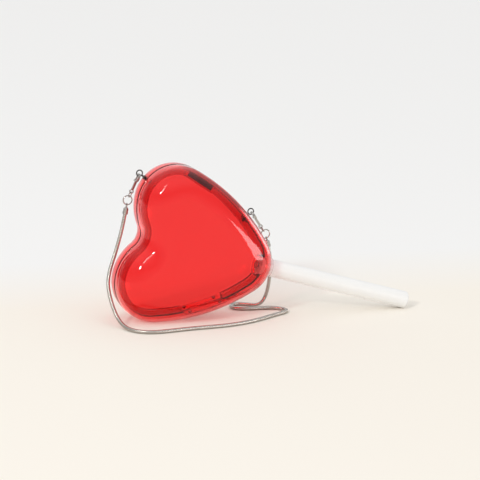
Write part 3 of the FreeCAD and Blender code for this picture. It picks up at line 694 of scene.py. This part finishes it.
def dress_chain():
    """The strap's chain, which lies where its solids do."""
    line = route_line()
    snake = snake_chain(line)
    snake.data.materials.append(
        metal("chain_metal", colour=(0.5, 0.465, 0.43), scale=500.0, roughness=(0.16, 0.28)))
    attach(snake, "rear_half")
    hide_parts("chain_left_drop", "chain_front_run", "chain_tip_loops", "chain_right_drop")


def dress():
    """All looks of the object."""
    # The rim material's darker colour is painted shade along the seam.
    acrylic, painted_shade_rim = red_acrylic(), red_acrylic_rim_painted_shade()
    dress_fittings(acrylic)
    dress_shell(rear_shell(), "rear_shell", "rear_half", acrylic, painted_shade_rim)
    dress_shell(front_shell(), "front_shell", "front_lid", acrylic, painted_shade_rim)
    dress_chain()


def floor():
    """Pale floor that turns from cream to a paler backdrop behind the object."""
    bm = bmesh.new()
    bmesh.ops.create_grid(bm, x_segments=1, y_segments=1, size=FLOOR_HALF)
    obj = new_object("floor", bm)
    material, nodes, links, shader = new_material("floor")
    place = nodes.new("ShaderNodeTexCoord")
    split = nodes.new("ShaderNodeSeparateXYZ")
    links.new(place.outputs["Object"], split.inputs["Vector"])
    level = remap(nodes, links, split.outputs["Y"], source=FLOOR_TURN)
    two_tone(nodes, links, shader, level, FLOOR_CREAM, BACKDROP_WHITE)
    set_inputs(shader, {"Roughness": FLOOR_ROUGHNESS, "Specular IOR Level": 0.0})
    obj.data.materials.append(material)


def direction(azimuth, elevation):
    """Direction by its angles, measured from the front towards the right and upwards."""
    level = math.cos(elevation)
    return Vector((math.sin(azimuth) * level, -math.cos(azimuth) * level, math.sin(elevation)))


def area_light(name, place, target, width, height, power, only_mirrored=False):
    """Rectangular lamp aimed at a target, which can be one that shows in reflections alone."""
    data = bpy.data.lights.new(name, "AREA")
    data.shape = "RECTANGLE"
    data.size = width
    data.size_y = height
    data.energy = power
    lamp = bpy.data.objects.new(name, data)
    lamp.location = place
    lamp.rotation_euler = (Vector(target) - Vector(place)).to_track_quat("-Z", "Y").to_euler()
    lamp.visible_camera = False
    lamp.visible_diffuse = not only_mirrored
    bpy.context.scene.collection.objects.link(lamp)


def sun(name, azimuth, elevation, spread, strength, colour):
    """Distant lamp that shines from a direction, with angles in degrees."""
    data = bpy.data.lights.new(name, "SUN")
    data.angle = math.radians(spread)
    data.energy = strength
    data.color = colour
    lamp = bpy.data.objects.new(name, data)
    towards = direction(math.radians(azimuth), math.radians(elevation))
    lamp.rotation_euler = towards.to_track_quat("Z", "Y").to_euler()
    bpy.context.scene.collection.objects.link(lamp)


def choose(nodes, links, rule, first, second):
    """The brighter or the darker of two levels."""
    chosen = nodes.new("ShaderNodeMath")
    chosen.operation = rule
    links.new(first, chosen.inputs[0])
    links.new(second, chosen.inputs[1])
    return chosen.outputs["Value"]


def room():
    """Studio with a bright ceiling, back wall and low front, darker in between."""
    world = bpy.data.worlds.new("studio")
    world.use_nodes = True
    nodes, links = world.node_tree.nodes, world.node_tree.links
    place = nodes.new("ShaderNodeTexCoord")
    split = nodes.new("ShaderNodeSeparateXYZ")
    links.new(place.outputs["Generated"], split.inputs["Vector"])

    def glow(axis, start, end, bright):
        """Brightness that rises from a start to an end along one axis of the room."""
        return remap(nodes, links, split.outputs[axis], (start, end), (DARK_LEVEL, bright))

    ceiling = glow("Z", start=0.35, end=0.75, bright=BRIGHT_LEVEL)
    back_wall = glow("Y", start=0.8, end=0.9, bright=BRIGHT_LEVEL)
    low = glow("Z", start=0.3, end=0.0, bright=LOW_FRONT_LEVEL)
    front = glow("Y", start=0.2, end=-0.3, bright=LOW_FRONT_LEVEL)
    low_front = choose(nodes, links, "MINIMUM", low, front)
    bright = choose(nodes, links, "MAXIMUM", ceiling, back_wall)
    level = choose(nodes, links, "MAXIMUM", bright, low_front)
    background = nodes["Background"]
    links.new(level, background.inputs["Color"])
    set_inputs(background, {"Strength": ROOM_STRENGTH})
    bpy.context.scene.world = world


def light():
    """Soft studio light: the room's own, a key and a tall strip on the left, two panels on the right."""
    room()
    sun("key", azimuth=-49.0, elevation=28.0, spread=5.5, strength=0.8, colour=(1.0, 0.97, 0.93))
    area_light("strip", place=(-1.6, -1.54, 2.02), target=(-0.08, 0.0, 0.08),
               width=0.12, height=1.1, power=10.0)
    area_light("panel", place=(0.75, -0.63, 0.105), target=(-0.03, 0.0, 0.105),
               width=0.5, height=0.21, power=2.8, only_mirrored=True)
    area_light("side_panel", place=(1.02, 0.57, 0.2), target=(-0.02, 0.0, 0.09),
               width=0.35, height=0.4, power=1.2, only_mirrored=True)


def camera():
    """Long lens at the photograph's viewing angle."""
    back = direction(CAMERA_AZIMUTH, CAMERA_ELEVATION)
    data = bpy.data.cameras.new("camera")
    data.sensor_width = SENSOR_WIDTH
    data.lens = SENSOR_WIDTH * FOCAL_PIXELS / IMAGE_SIDE
    data.clip_end = VIEW_END
    eye = bpy.data.objects.new("camera", data)
    aim = (-back).to_track_quat("-Z", "Y").to_matrix().to_4x4()
    eye.matrix_world = (Matrix.Translation(CAMERA_TARGET + back * CAMERA_DISTANCE) @ aim
                        @ Matrix.Rotation(CAMERA_ROLL, 4, "Z"))
    bpy.context.scene.collection.objects.link(eye)
    bpy.context.scene.camera = eye


dress()
floor()
light()
camera()
bpy.context.scene.view_settings.view_transform = "Standard"
